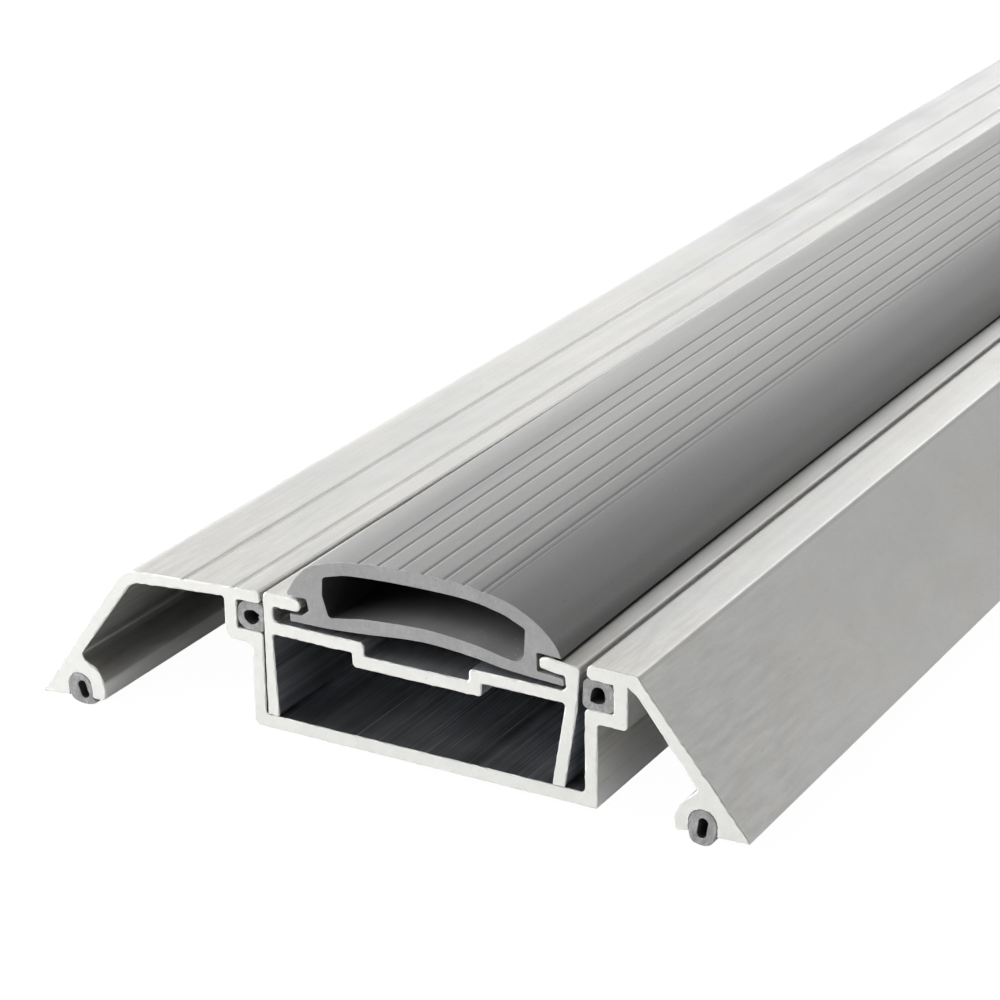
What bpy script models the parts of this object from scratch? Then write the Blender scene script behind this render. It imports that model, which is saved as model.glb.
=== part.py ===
"""Height-adjustable door threshold strip: an aluminium base with two ramps, a riser that lifts out of
the base's channel on jack screws, a soft crown for the door to close on, and soft side and foot seals.

Cross-sections are drawn in millimetres as (x, z), with x = 0 on the middle of the channel and z = 0 on
its underside. The strip runs along Y. Everything hangs on one empty, which lifts the section so that
the foot seals stand on z = 0 and centres it in x.
"""

import math

import bmesh
import bpy
import numpy as np
from mathutils import Vector

MM = 0.001

LENGTH = 914.4  # the stock length, 36 inches

# Channel and the two seal pockets over its walls
CHANNEL_HALF = 22.7
CHANNEL_WALL = 1.6
CHANNEL_INNER = CHANNEL_HALF - CHANNEL_WALL
FLOOR = 1.7
POCKET_UNDER = 10.4
POCKET_FLOOR = 12.0
POCKET_CEILING = 15.6
POCKET_OUTER = 26.4
POCKET_INNER = 24.65
LIP_END = 21.4
TOP_RIGHT = 17.35
TOP_LEFT = 17.2

# The left plate falls gently outwards, and then the ramp falls to the foot
PLATE_CORNER = (-40.8, 16.1)
PLATE_CORNER_ROUND = 4.0
PLATE_WALL = 1.55
PLATE_INNER_CORNER = (-39.6, 14.65)
PLATE_GROOVES = (-32.05, -24.9)
PLATE_GROOVE_WIDTH = 0.6
PLATE_GROOVE_DEPTH = 0.2
LEFT_TIP = (-54.2, -2.75)
LEFT_RAMP_INNER_END = (-47.75, 3.7)
RIGHT_CORNER = (27.55, 17.25)
RIGHT_TIP = (41.45, 0.3)
RIGHT_RAMP_INNER_TOP = (27.7, 14.65)
RIGHT_RAMP_INNER_END = (34.95, 5.35)

# Each foot holds a hollow seal in a round-topped groove behind a hook
LEFT_SEAL = (-48.3, -0.85)
RIGHT_SEAL = (35.6, 1.4)
GROOVE_RADIUS = 1.72
SEAL_RADIUS = 1.6
HOOK_RADIUS = 3.5
LEFT_SEAL_UNDER = -3.05
RIGHT_SEAL_UNDER = -1.2
SEAL_HOLE_RADIUS = 0.58

# Riser: a deck with a stepped recess, a stem and a flange at each side, and a leg under each stem
RISER_LEFT = -20.8
RISER_FOOT = FLOOR + 0.3
DECK_TOP = 13.7
DECK_UNDER = 12.15
RECESS_TOP = 12.05
RECESS_UNDER = 10.4
RECESS_LEFT = -7.3
RECESS_RIGHT = 6.45
RECESS_WALL = 1.63
FLANGE_TOP = 17.25
FLANGE_UNDER = 15.65

# Crown: the hollow soft strip that snaps under the riser's flanges
CROWN_GROOVES = (-7.6, -4.95, -2.15, 0.8, 3.6, 6.05, 8.4)
CROWN_GROOVE_WIDTH = 0.45
CROWN_GROOVE_DEPTH = 0.22

# Jack screws, number 10 with 24 threads to the inch, in threaded inserts in the riser's recess
SCREW_X = (RECESS_LEFT + RECESS_RIGHT) / 2
SCREW_YS = (-400.0, -200.0, 0.0, 200.0, 400.0)
SCREW_RADIUS = 2.4
SCREW_LENGTH = 12.7
SCREW_SLOT_WIDTH = 0.9
SCREW_SLOT_DEPTH = 1.1
SCREW_CHAMFER = 0.45
SCREW_CLEARANCE = 0.12
INSERT_HEAD_RADIUS = 4.7
INSERT_HEAD = 0.8
INSERT_BODY_RADIUS = 3.3
INSERT_BULGE_RADIUS = 4.2
INSERT_BULGE = 1.8
INSERT_BOTTOM = 4.9
INSERT_HOLE_RADIUS = 3.6
GAP = 0.3

# Countersunk holes for the screws that fix the channel to the sill
FIXING_YS = (-300.0, -100.0, 100.0, 300.0)
FIXING_HOLE_RADIUS = 2.5
FIXING_SINK_RADIUS = 4.3
FIXING_LAND = 0.2  # the straight part of the hole, under the countersink

ROUND_SEGMENTS = 32
ARC_STEP = math.radians(18)


def arc(centre, radius, start, end):
    """Points along an arc, from the start angle to the end angle in degrees, both ends included."""
    start, end = math.radians(start), math.radians(end)
    steps = max(2, round(abs(end - start) / ARC_STEP))
    angles = [start + (end - start) * i / steps for i in range(steps + 1)]
    return [(centre[0] + radius * math.cos(a), centre[1] + radius * math.sin(a)) for a in angles]


def rounded(corners):
    """A closed outline from (x, z) corners, where (x, z, radius) rounds a corner to that radius."""
    outline = []
    for i, corner in enumerate(corners):
        here = Vector(corner[:2])
        if len(corner) == 2:
            outline.append(tuple(here))
            continue
        before = (Vector(corners[i - 1][:2]) - here).normalized()
        after = (Vector(corners[(i + 1) % len(corners)][:2]) - here).normalized()
        half = before.angle(after) / 2
        bisector = (before + after).normalized()
        centre = here + bisector * corner[2] / math.sin(half)
        first = here + before * corner[2] / math.tan(half) - centre
        turn = first.angle_signed(here + after * corner[2] / math.tan(half) - centre)
        start = math.degrees(math.atan2(first.y, first.x))
        outline += arc(centre, corner[2], start, start - math.degrees(turn))
    return outline


def rounded_run(corners, radius):
    """An open run of corners, the inner ones rounded to their own radius or, without one, to this one."""
    inner = [(*corner[:2], *(corner[2:] or (radius,))) for corner in corners[1:-1]]
    return rounded([corners[0], *inner, corners[-1]])


def smooth(points, steps=4):
    """A Catmull-Rom curve through the points, open at both ends."""
    vectors = [Vector(p) for p in points]
    ends = [2 * vectors[0] - vectors[1], *vectors, 2 * vectors[-1] - vectors[-2]]
    curve = []
    for before, here, there, after in zip(ends, ends[1:], ends[2:], ends[3:]):
        for i in range(steps):
            t = i / steps
            curve.append(
                0.5
                * (
                    2 * here
                    + (there - before) * t
                    + (2 * before - 5 * here + 4 * there - after) * t**2
                    + (3 * here - before - 3 * there + after) * t**3
                )
            )
    return [tuple(p) for p in [*curve, vectors[-1]]]


def grooved(run, xs, width, depth):
    """The run of points, which goes only one way in x, with a V groove cut downwards at each x."""
    levels = sorted(run)
    side = width / 2

    def level(x):
        return float(np.interp(x, [p[0] for p in levels], [p[1] for p in levels]))

    cut = [p for p in run if all(abs(p[0] - x) > side for x in xs)]
    for x in xs:
        cut += [(x - side, level(x - side)), (x, level(x) - depth), (x + side, level(x + side))]
    return sorted(cut, reverse=run[0][0] > run[-1][0])


def material(name, colour, metallic, roughness):
    made = bpy.data.materials.new(name)
    made.use_nodes = True
    shader = made.node_tree.nodes["Principled BSDF"]
    shader.inputs["Base Color"].default_value = (*colour, 1)
    shader.inputs["Metallic"].default_value = metallic
    shader.inputs["Roughness"].default_value = roughness
    return made


def placed(name, mesh, made_of, parent, y=0.0, x=0.0):
    """The mesh as a named object under the parent empty."""
    if not mesh.materials:
        mesh.materials.append(made_of)
    obj = bpy.data.objects.new(name, mesh)
    bpy.context.scene.collection.objects.link(obj)
    obj.parent = parent
    obj.location = (x * MM, y * MM, 0)
    return obj


def extrusion(name, outlines, length=LENGTH):
    """A mesh of the outlines, the first one filled and the others holes in it, drawn out along Y."""
    curve = bpy.data.curves.new(name + "_section", "CURVE")
    curve.dimensions = "2D"
    curve.fill_mode = "BOTH"
    curve.extrude = length * MM / 2
    for outline in outlines:
        spline = curve.splines.new("POLY")
        spline.points.add(len(outline) - 1)
        for point, (x, z) in zip(spline.points, outline):
            point.co = (x * MM, z * MM, 0, 1)
        spline.use_cyclic_u = True
    drawn = bpy.data.objects.new(name + "_section", curve)
    mesh = bpy.data.meshes.new_from_object(drawn)
    mesh.name = name
    bpy.data.objects.remove(drawn)
    bpy.data.curves.remove(curve)
    work = bmesh.new()
    work.from_mesh(mesh)
    bmesh.ops.remove_doubles(work, verts=work.verts, dist=1e-6)
    for vert in work.verts:
        vert.co = (vert.co.x, -vert.co.z, vert.co.y)
    bmesh.ops.recalc_face_normals(work, faces=work.faces)
    work.to_mesh(mesh)
    work.free()
    return mesh


def turned(profile):
    """Rings of vertices round the Z axis at (radius, z) points, listed from the top down."""
    work = bmesh.new()
    rings = []
    for radius, z in profile:
        ring = []
        for i in range(ROUND_SEGMENTS):
            angle = 2 * math.pi * i / ROUND_SEGMENTS
            place = (radius * math.cos(angle), radius * math.sin(angle), z)
            ring.append(work.verts.new(Vector(place) * MM))
        rings.append(ring)
    return work, rings


def skinned(work, rings, closed_ring=False):
    """Joins neighbouring rings with quads, the last to the first as well if closed_ring is set."""
    pairs = list(zip(rings, rings[1:]))
    if closed_ring:
        pairs.append((rings[-1], rings[0]))
    for upper, lower in pairs:
        for i in range(ROUND_SEGMENTS):
            after = (i + 1) % ROUND_SEGMENTS
            work.faces.new((upper[i], lower[i], lower[after], upper[after]))


def finished(work, name):
    bmesh.ops.recalc_face_normals(work, faces=work.faces)
    mesh = bpy.data.meshes.new(name)
    work.to_mesh(mesh)
    work.free()
    mesh.shade_smooth()
    mesh.set_sharp_from_angle(angle=math.radians(30))
    return mesh


def cutter(name, mesh, parent, x, y):
    """A helper object that only Booleans see."""
    obj = bpy.data.objects.new(name, mesh)
    bpy.context.scene.collection.objects.link(obj)
    obj.parent = parent
    obj.location = (x * MM, y * MM, 0)
    obj.hide_render = True
    obj.display_type = "WIRE"
    return obj


def cut(obj, tool):
    modifier = obj.modifiers.new(tool.name, "BOOLEAN")
    modifier.operation = "DIFFERENCE"
    modifier.object = tool


def foot_groove(centre, mouth):
    """The inside of a seal groove, from its left lip at height mouth[0] to its right lip at mouth[1]."""
    left, right = centre[0] - GROOVE_RADIUS, centre[0] + GROOVE_RADIUS
    return [(left, mouth[0]), *arc(centre, GROOVE_RADIUS, 180, 0), (right, mouth[1])]


def base_outline():
    """The whole base section, anticlockwise from the channel's lower left corner."""
    left_hook = smooth(
        [(-44.65, -1.3), (-44.6, -0.4), (-44.85, 0.7), (-45.25, 1.5), (-45.8, 2.1), (-46.6, 2.45)], steps=2
    )
    right_hook = (RIGHT_SEAL[0], RIGHT_SEAL[1] - 0.4)
    plate = grooved(
        [(-LIP_END - 0.4, TOP_LEFT - 0.02), PLATE_CORNER],
        PLATE_GROOVES,
        PLATE_GROOVE_WIDTH,
        PLATE_GROOVE_DEPTH,
    )
    left_groove = foot_groove(LEFT_SEAL, (-2.3, -1.9))
    right_groove = foot_groove(RIGHT_SEAL, (0.25, 0.2))
    return rounded(
        [
            (-CHANNEL_HALF, 0, 0.8),
            (CHANNEL_HALF, 0, 0.3),
            (CHANNEL_HALF, POCKET_UNDER, 0.3),
            (POCKET_OUTER, POCKET_UNDER, 0.6),
            (POCKET_OUTER, 15.7),
            RIGHT_RAMP_INNER_TOP,
            (*RIGHT_RAMP_INNER_END, 0.3),
            *arc(right_hook, HOOK_RADIUS, 135, 190),
            (32.35, -0.05, 0.3),
            *right_groove,
            (*RIGHT_TIP, 0.15),
            (*RIGHT_CORNER, 0.5),
            (LIP_END, TOP_RIGHT, 0.7),
            (LIP_END, POCKET_CEILING, 0.6),
            (POCKET_INNER, POCKET_CEILING, 0.25),
            (POCKET_INNER, POCKET_FLOOR, 0.25),
            (CHANNEL_INNER, POCKET_FLOOR, 0.6),
            (CHANNEL_INNER, FLOOR, 0.5),
            (-CHANNEL_INNER, FLOOR, 0.5),
            (-CHANNEL_INNER, POCKET_FLOOR, 0.4),
            (-POCKET_INNER, POCKET_FLOOR, 0.25),
            (-POCKET_INNER, POCKET_CEILING, 0.25),
            (-LIP_END, POCKET_CEILING, 0.4),
            (-LIP_END, TOP_LEFT, 0.3),
            *plate[1:-1],
            (*PLATE_CORNER, PLATE_CORNER_ROUND),
            (*LEFT_TIP, 0.15),
            *left_groove,
            (-45.9, -2.15, 0.4),
            (-44.8, -2.0, 0.4),
            *left_hook,
            (-47.45, 2.95, 0.3),
            (*LEFT_RAMP_INNER_END, 0.3),
            (*PLATE_INNER_CORNER, PLATE_CORNER_ROUND - PLATE_WALL),
            (-POCKET_OUTER, POCKET_CEILING, 0.4),
            (-POCKET_OUTER, POCKET_UNDER, 1.4),
            (-CHANNEL_HALF, POCKET_UNDER, 0.8),
        ]
    )


def make_base(metal, parent):
    base = placed("base", extrusion("base", [base_outline()]), metal, parent)
    slope = (FIXING_SINK_RADIUS - FIXING_HOLE_RADIUS) / (FLOOR - FIXING_LAND)
    above = 0.4
    work, rings = turned(
        [
            (FIXING_SINK_RADIUS + above * slope, FLOOR + above),
            (FIXING_HOLE_RADIUS, FIXING_LAND),
            (FIXING_HOLE_RADIUS, -1.0),
        ]
    )
    skinned(work, rings)
    work.faces.new(rings[0])
    work.faces.new(rings[-1])
    sink = finished(work, "fixing_sink")
    for i, y in enumerate(FIXING_YS):
        cut(base, cutter(f"fixing_sink_{i + 1}", sink, parent, 0, y))


def riser_outline():
    """The riser section, anticlockwise from the foot of the left leg."""
    return rounded(
        [
            (RISER_LEFT, RISER_FOOT, 0.2),
            (-19.25, RISER_FOOT, 0.2),
            (-19.75, DECK_UNDER, 0.4),
            (RECESS_LEFT - RECESS_WALL, DECK_UNDER, 0.3),
            (RECESS_LEFT - RECESS_WALL, RECESS_UNDER, 0.5),
            (RECESS_RIGHT + RECESS_WALL, RECESS_UNDER, 0.5),
            (RECESS_RIGHT + RECESS_WALL, DECK_UNDER - 0.1, 0.3),
            (18.7, DECK_UNDER - 0.1, 0.4),
            (17.0, RISER_FOOT, 0.2),
            (18.6, RISER_FOOT, 0.2),
            (20.15, 11.4, 1.0),
            (20.5, 16.7, 0.4),
            (16.6, FLANGE_TOP - 0.15, 0.8),
            (15.5, 16.9, 0.5),
            (15.5, 15.6, 0.5),
            (18.65, 15.3, 0.3),
            (18.85, DECK_TOP - 0.15, 0.6),
            (RECESS_RIGHT, DECK_TOP - 0.15, 0.6),
            (RECESS_RIGHT, RECESS_TOP, 0.3),
            (RECESS_LEFT, RECESS_TOP, 0.3),
            (RECESS_LEFT, DECK_TOP, 0.6),
            (-19.6, DECK_TOP, 0.9),
            (-19.6, FLANGE_UNDER, 0.3),
            (-15.8, FLANGE_UNDER, 0.75),
            (-15.8, FLANGE_TOP, 0.75),
            (-20.9, FLANGE_TOP, 0.5),
        ]
    )


def make_riser(metal, parent):
    riser = placed("riser", extrusion("riser", [riser_outline()]), metal, parent)
    work, rings = turned([(INSERT_HOLE_RADIUS, 14.0), (INSERT_HOLE_RADIUS, 9.0)])
    skinned(work, rings)
    work.faces.new(rings[0])
    work.faces.new(rings[-1])
    hole = finished(work, "insert_hole")
    for i, y in enumerate(SCREW_YS):
        cut(riser, cutter(f"insert_hole_{i + 1}", hole, parent, SCREW_X, y))


def crown_outline():
    """The crown's outside, anticlockwise from the left foot: its arched underside, its right snap
    groove, its grooved top and its left snap groove."""
    underside = smooth(
        [(-17.15, 14.4), (-12.1, 14.5), (-7.7, 14.8), (0.2, 15.5), (6.7, 15.15), (11.5, 14.5), (18.4, 14.1)]
    )
    top = smooth(
        [
            (18.8, 17.5),
            (17.7, 18.9),
            (15.6, 20.65),
            (12.7, 22.3),
            (9.4, 23.2),
            (5.0, 23.75),
            (0.0, 23.9),
            (-5.0, 23.75),
            (-10.2, 23.1),
            (-14.3, 21.75),
            (-16.3, 19.95),
            (-17.5, 18.0),
        ]
    )
    return [
        *underside,
        *rounded_run([(18.55, 14.2), (18.5, 14.95), (15.2, 15.2), (15.15, 17.45), (18.6, 17.3)], 0.25),
        *grooved(top, CROWN_GROOVES, CROWN_GROOVE_WIDTH, CROWN_GROOVE_DEPTH),
        *rounded_run([(-17.4, 17.6), (-14.9, 17.6), (-14.6, 16.2), (-15.6, 15.35), (-17.2, 15.3)], 0.25),
    ]


def crown_hollow():
    floor = smooth([(-9.6, 16.25), (-6.3, 16.75), (1.0, 17.15), (7.0, 16.7), (10.8, 16.0)], steps=3)
    roof = smooth(
        [(12.6, 20.45), (10.4, 21.25), (6.0, 21.95), (-2.2, 22.0), (-8.8, 21.65), (-11.2, 21.15)], steps=3
    )
    right_end = rounded_run([floor[-1], (13.5, 15.6, 1.2), (13.75, 19.95), roof[0]], 0.4)
    left_end = rounded_run([roof[-1], (-12.6, 20.75), (-12.7, 18.5), (-11.9, 15.85), floor[0]], 0.6)
    return [*floor[:-1], *right_end, *roof[1:-1], *left_end[:-1]]


def make_crown(soft, parent):
    placed("crown", extrusion("crown", [crown_outline(), crown_hollow()]), soft, parent)


def make_side_gaskets(soft, parent):
    """The two hollow strips in the pockets, which wipe the riser's stems."""
    middle = (POCKET_FLOOR + POCKET_CEILING) / 2
    low, high = POCKET_FLOOR + GAP, POCKET_CEILING - GAP
    left = rounded([(-24.4, low, 1.4), (-21.15, low, 0.5), (-21.15, high, 0.8), (-24.4, high, 1.3)])
    left_hole = arc((-22.65, middle - 0.1), 0.9, 0, 342)
    right = rounded([(20.85, low, 0.7), (24.4, low, 0.5), (24.4, high, 0.9), (20.85, high, 0.7)])
    right_hole = [(21.8, middle - 0.9), (23.4, middle - 0.85), *arc((22.75, middle + 0.1), 0.85, 0, 160)]
    placed("left_side_gasket", extrusion("left_side_gasket", [left, left_hole]), soft, parent)
    placed("right_side_gasket", extrusion("right_side_gasket", [right, right_hole]), soft, parent)


def foot_seal(centre, lower_corners, hole_top, hole_bottom):
    """A foot seal's outside, whose round top fills its groove, and the hole through it."""
    left, right = (centre[0] - SEAL_RADIUS, centre[1] - 0.1), (centre[0] + SEAL_RADIUS, centre[1] - 0.1)
    outside = [*arc(centre, SEAL_RADIUS, 0, 180), *rounded_run([left, *lower_corners, right], 0.35)]
    hole = [*arc(hole_top, SEAL_HOLE_RADIUS, 10, 190), *arc(hole_bottom, SEAL_HOLE_RADIUS, 190, 370)]
    return [outside, hole]


def make_foot_seals(soft, parent):
    """The left seal's tail bulges out under its hook, and the right seal's underside is fuller."""
    left_corners = [
        (-49.75, LEFT_SEAL_UNDER + 0.35, 1.2),
        (-48.5, LEFT_SEAL_UNDER, 0.8),
        (-47.2, LEFT_SEAL_UNDER, 0.4),
        (-46.2, LEFT_SEAL_UNDER + 0.15, 0.3),
        (-45.95, LEFT_SEAL_UNDER + 0.7, 0.1),
        (-46.75, LEFT_SEAL_UNDER + 0.95, 0.2),
    ]
    right_corners = [
        (33.9, -0.5, 0.4),
        (34.5, RIGHT_SEAL_UNDER, 0.5),
        (36.5, RIGHT_SEAL_UNDER + 0.1, 0.7),
        (37.2, 0.0, 0.5),
    ]
    left = foot_seal(LEFT_SEAL, left_corners, (-48.05, -0.65), (-47.7, -1.65))
    right = foot_seal(RIGHT_SEAL, right_corners, (35.65, 1.55), (35.5, 0.3))
    placed("left_foot_seal", extrusion("left_foot_seal", left), soft, parent)
    placed("right_foot_seal", extrusion("right_foot_seal", right), soft, parent)


def screw_mesh():
    """A headless jack screw standing on the channel floor, with chamfered ends."""
    low = RISER_FOOT
    high = low + SCREW_LENGTH
    narrow = SCREW_RADIUS - SCREW_CHAMFER
    work, rings = turned(
        [
            (narrow, high),
            (SCREW_RADIUS, high - SCREW_CHAMFER),
            (SCREW_RADIUS, low + 2 * SCREW_CHAMFER),
            (narrow - SCREW_CHAMFER, low),
        ]
    )
    skinned(work, rings)
    work.faces.new(rings[0])
    work.faces.new(rings[-1])
    return finished(work, "jack_screw")


def insert_mesh():
    """A threaded insert set in the riser's recess: head, plain neck, crimped bulge and body."""
    head_under = RECESS_TOP + GAP
    head_top = head_under + INSERT_HEAD
    bulge_top = RECESS_UNDER - GAP
    bore = SCREW_RADIUS + SCREW_CLEARANCE
    work, rings = turned(
        [
            (bore, head_top),
            (INSERT_HEAD_RADIUS - 0.2, head_top),
            (INSERT_HEAD_RADIUS, head_top - 0.2),
            (INSERT_HEAD_RADIUS, head_under),
            (INSERT_BODY_RADIUS, head_under),
            (INSERT_BODY_RADIUS, bulge_top),
            (INSERT_BULGE_RADIUS, bulge_top - 0.3),
            (INSERT_BULGE_RADIUS, bulge_top - INSERT_BULGE + 0.3),
            (INSERT_BODY_RADIUS, bulge_top - INSERT_BULGE),
            (INSERT_BODY_RADIUS, INSERT_BOTTOM + 0.2),
            (INSERT_BODY_RADIUS - 0.2, INSERT_BOTTOM),
            (bore, INSERT_BOTTOM),
        ]
    )
    skinned(work, rings, closed_ring=True)
    return finished(work, "insert")


def slot_mesh():
    """The box that cuts the driver slot across the top of a jack screw."""
    work = bmesh.new()
    bmesh.ops.create_cube(work, size=1.0)
    high = RISER_FOOT + SCREW_LENGTH
    for vert in work.verts:
        vert.co.x *= 4 * SCREW_RADIUS * MM
        vert.co.y *= SCREW_SLOT_WIDTH * MM
        vert.co.z = (high + (1.0 if vert.co.z > 0 else -SCREW_SLOT_DEPTH)) * MM
    mesh = bpy.data.meshes.new("driver_slot")
    work.to_mesh(mesh)
    work.free()
    return mesh


def make_jacks(steel, parent):
    """One jack screw and its insert at each station along the strip."""
    screw, insert, slot = screw_mesh(), insert_mesh(), slot_mesh()
    for i, y in enumerate(SCREW_YS):
        placed(f"insert_{i + 1}", insert, steel, parent, y, SCREW_X)
        jack = placed(f"jack_screw_{i + 1}", screw, steel, parent, y, SCREW_X)
        cut(jack, cutter(f"driver_slot_{i + 1}", slot, parent, SCREW_X, y))


def main():
    for obj in list(bpy.data.objects):
        bpy.data.objects.remove(obj)
    section = bpy.data.objects.new("section", None)
    bpy.context.scene.collection.objects.link(section)
    centre = (LEFT_TIP[0] + RIGHT_TIP[0]) / 2
    section.location = (-centre * MM, 0, -LEFT_SEAL_UNDER * MM)
    metal = material("mill_aluminium", (0.80, 0.80, 0.78), 1.0, 0.38)
    soft = material("grey_vinyl", (0.27, 0.27, 0.27), 0.0, 0.55)
    steel = material("zinc_steel", (0.62, 0.62, 0.60), 1.0, 0.35)
    make_base(metal, section)
    make_riser(metal, section)
    make_crown(soft, section)
    make_side_gaskets(soft, section)
    make_foot_seals(soft, section)
    make_jacks(steel, section)


main()
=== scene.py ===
"""A height-adjustable door threshold strip, dressed for a photograph: fine meshes for the two aluminium
extrusions, the soft crown, gaskets and foot seals, the jack screws and their inserts, all in the places
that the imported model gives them. Cross-sections are in millimetres as (x, z), drawn out along Y.
"""

import math

import bmesh
import bpy
from mathutils import Matrix, Vector, noise
from mathutils.geometry import tessellate_polygon


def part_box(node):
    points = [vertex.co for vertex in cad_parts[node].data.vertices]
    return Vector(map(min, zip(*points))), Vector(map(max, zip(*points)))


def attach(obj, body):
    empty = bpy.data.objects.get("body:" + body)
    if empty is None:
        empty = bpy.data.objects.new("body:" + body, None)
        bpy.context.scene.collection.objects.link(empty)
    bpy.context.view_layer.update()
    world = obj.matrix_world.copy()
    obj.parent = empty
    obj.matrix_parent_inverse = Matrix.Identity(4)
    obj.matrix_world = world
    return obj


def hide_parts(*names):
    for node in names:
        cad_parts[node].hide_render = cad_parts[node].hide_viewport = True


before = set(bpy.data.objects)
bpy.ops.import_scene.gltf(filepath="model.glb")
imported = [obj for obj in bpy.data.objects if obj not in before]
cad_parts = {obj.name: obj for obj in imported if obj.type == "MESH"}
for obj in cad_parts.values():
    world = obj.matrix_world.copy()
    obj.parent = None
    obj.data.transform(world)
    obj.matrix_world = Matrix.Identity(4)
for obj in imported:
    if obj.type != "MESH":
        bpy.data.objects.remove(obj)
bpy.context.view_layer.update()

MM = 0.001
INCH = 25.4
FINE_ARC = math.radians(9)  # the turn between two points of an arc

# ---- Where the section lies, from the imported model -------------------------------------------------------

SCREW_X = -0.425
FLOOR = 1.7
SCREW_FOOT = 2.0
RISER_FOOT = 1.74
screw_low, screw_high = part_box("jack_screw_3")
ORIGIN_X = (screw_low.x + screw_high.x) / 2 / MM - SCREW_X
ORIGIN_Z = screw_low.z / MM - SCREW_FOOT
HALF_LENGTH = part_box("base")[1].y / MM
SCREW_YS = [(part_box(f"jack_screw_{i}")[0].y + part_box(f"jack_screw_{i}")[1].y) / 2 / MM for i in range(1, 6)]

CHANNEL_HALF = 22.7
CHANNEL_INNER = 21.1
POCKET_UNDER = 10.4
POCKET_FLOOR = 12.0
POCKET_CEILING = 15.6
POCKET_OUTER = 26.4
POCKET_INNER = 24.65
LIP_END = 21.4
LEFT_SEAL = (-48.3, -0.85)
RIGHT_SEAL = (35.6, 1.4)
GROOVE_RADIUS = 1.72
SEAL_RADIUS = 1.68
SEAL_HOLE_RADIUS = 0.6
HOOK_RADIUS = 3.5
PLATE_GROOVES = (-32.05, -24.95)
PLATE_GROOVE_WIDTH = 0.75
CROWN_GROOVES = (-7.6, -4.95, -2.15, 0.8, 3.6, 6.05, 8.4)
CROWN_GROOVE_WIDTH = 0.5
GROOVE_DEPTH = 0.11
FAINT_GROOVE = (CROWN_GROOVES[-1] + 0.8, 0.3, 0.04)  # place, width and depth

# The base's top: the heights of its two lips, and the corners and tip that its material needs too
TOP_RIGHT = 17.35
TOP_LEFT = 17.2
RIGHT_CORNER = (27.55, 17.25)
PLATE_CORNER = (-40.8, 16.1)
LEFT_TIP = (-54.2, -2.75)


# ---- Outlines ------------------------------------------------------------------------------------------

def arc(centre, radius, start, end):
    """Points along an arc between two angles in degrees, both ends included."""
    start, end = math.radians(start), math.radians(end)
    steps = max(2, round(abs(end - start) / FINE_ARC))
    angles = [start + (end - start) * i / steps for i in range(steps + 1)]
    return [(centre[0] + radius * math.cos(a), centre[1] + radius * math.sin(a)) for a in angles]


def rounded(corners):
    """A closed outline from (x, z) corners, where (x, z, radius) rounds a corner to that radius."""
    outline = []
    for i, corner in enumerate(corners):
        here = Vector(corner[:2])
        if len(corner) == 2:
            outline.append(tuple(here))
            continue
        before = (Vector(corners[i - 1][:2]) - here).normalized()
        after = (Vector(corners[(i + 1) % len(corners)][:2]) - here).normalized()
        half = before.angle(after) / 2
        centre = here + (before + after).normalized() * corner[2] / math.sin(half)
        first = here + before * corner[2] / math.tan(half) - centre
        turn = first.angle_signed(here + after * corner[2] / math.tan(half) - centre)
        start = math.degrees(math.atan2(first.y, first.x))
        outline += arc(centre, corner[2], start, start - math.degrees(turn))
    return outline


def rounded_run(corners, radius):
    """An open run of corners, the inner ones rounded to their own radius or, without one, to this one."""
    inner = [(*corner[:2], *(corner[2:] or (radius,))) for corner in corners[1:-1]]
    return rounded([corners[0], *inner, corners[-1]])


def smooth(points, steps=6):
    """A Catmull-Rom curve through the points, open at both ends."""
    vectors = [Vector(p) for p in points]
    ends = [2 * vectors[0] - vectors[1], *vectors, 2 * vectors[-1] - vectors[-2]]
    curve = []
    for before, here, there, after in zip(ends, ends[1:], ends[2:], ends[3:]):
        for i in range(steps):
            t = i / steps
            straight = 2 * here + (there - before) * t
            bend = (2 * before - 5 * here + 4 * there - after) * t**2
            swing = (3 * here - before - 3 * there + after) * t**3
            curve.append(0.5 * (straight + bend + swing))
    return [tuple(p) for p in [*curve, vectors[-1]]]


def level_at(run, x):
    """The height of a run of points, sorted in x, at x."""
    for (x0, z0), (x1, z1) in zip(run, run[1:]):
        if x0 <= x <= x1:
            return z0 + (z1 - z0) * (x - x0) / max(x1 - x0, 1e-9)
    return run[0][1] if x < run[0][0] else run[-1][1]


# Half of a groove's shape, from its shoulder to its bottom: share of the width from its middle, and of
# the depth
GROOVE_SHAPE = ((0.75, 0.0), (0.5, 0.08), (0.3, 0.5), (0.1, 0.95))


def grooved(run, grooves):
    """The run of points with a soft-edged V cut downwards at each (x, width, depth)."""
    levels = sorted(run)
    shoulder = GROOVE_SHAPE[0][0]
    cut = [p for p in run if all(abs(p[0] - x) > width * shoulder for x, width, depth in grooves)]
    for x, width, depth in grooves:
        for share, sunk in GROOVE_SHAPE:
            for at in (x - share * width, x + share * width):
                cut.append((at, level_at(levels, at) - depth * sunk))
    return sorted(cut, reverse=run[0][0] > run[-1][0])


def fine(outline, step):
    """The closed outline with points added until none are further apart than step."""
    dense = []
    for i, here in enumerate(outline):
        there = outline[(i + 1) % len(outline)]
        gap = math.dist(here, there)
        if gap < 1e-5:
            continue
        parts = max(1, math.ceil(gap / step))
        dense += [
            (here[0] + (there[0] - here[0]) * k / parts, here[1] + (there[1] - here[1]) * k / parts)
            for k in range(parts)
        ]
    return dense


def foot_groove(centre, mouth):
    """The inside of a seal groove, from its left lip at height mouth[0] to its right lip at mouth[1]."""
    left, right = centre[0] - GROOVE_RADIUS, centre[0] + GROOVE_RADIUS
    return [(left, mouth[0]), *arc(centre, GROOVE_RADIUS, 180, 0), (right, mouth[1])]


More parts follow.
